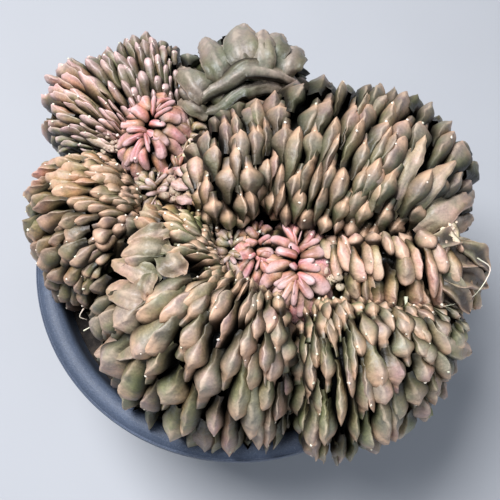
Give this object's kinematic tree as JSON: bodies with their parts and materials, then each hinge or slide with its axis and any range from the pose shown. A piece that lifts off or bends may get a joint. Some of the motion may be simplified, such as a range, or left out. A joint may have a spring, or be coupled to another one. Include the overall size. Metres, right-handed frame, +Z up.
{
  "type": "potted plaid cactus",
  "caption": "Crested plaid cactus clump with bunches of young growth, filling and overhanging a round plastic bowl pot.",
  "frame": {"origin": "middle of the pot's flat base, on the surface that the pot stands on", "axes": "+Z up along the pot's axis, +Y towards the back of the plant as pictured, +X to the right"},
  "size_m": [0.2243, 0.2299, 0.168],
  "materials": {
    "pot": "matte, finely stippled",
    "soil": "gritty",
    "green_brown": "waxy",
    "mauve_brown": "waxy",
    "tan_brown": "waxy",
    "grey_green": "waxy",
    "pink_tipped": "waxy",
    "young_pink": "waxy",
    "young_brown": "waxy"
  },
  "bodies": {
    "root": {"pot": "pot", "soil": "soil", "head_front_left": "green_brown", "head_right_middle": "mauve_brown", "head_back_right": "green_brown", "head_front_right": "green_brown", "head_left": "tan_brown", "head_top_centre": "grey_green", "head_top_left": "pink_tipped", "bunch_pink_side": "young_pink", "bunch_pink_upper": "young_pink", "bunch_brown_upper": "young_brown", "bunch_brown_side": "young_brown", "bunch_brown_middle": "young_brown", "bunch_pink_middle": "young_pink", "bunch_pink_star": "young_pink"}
  },
  "joints": []
}
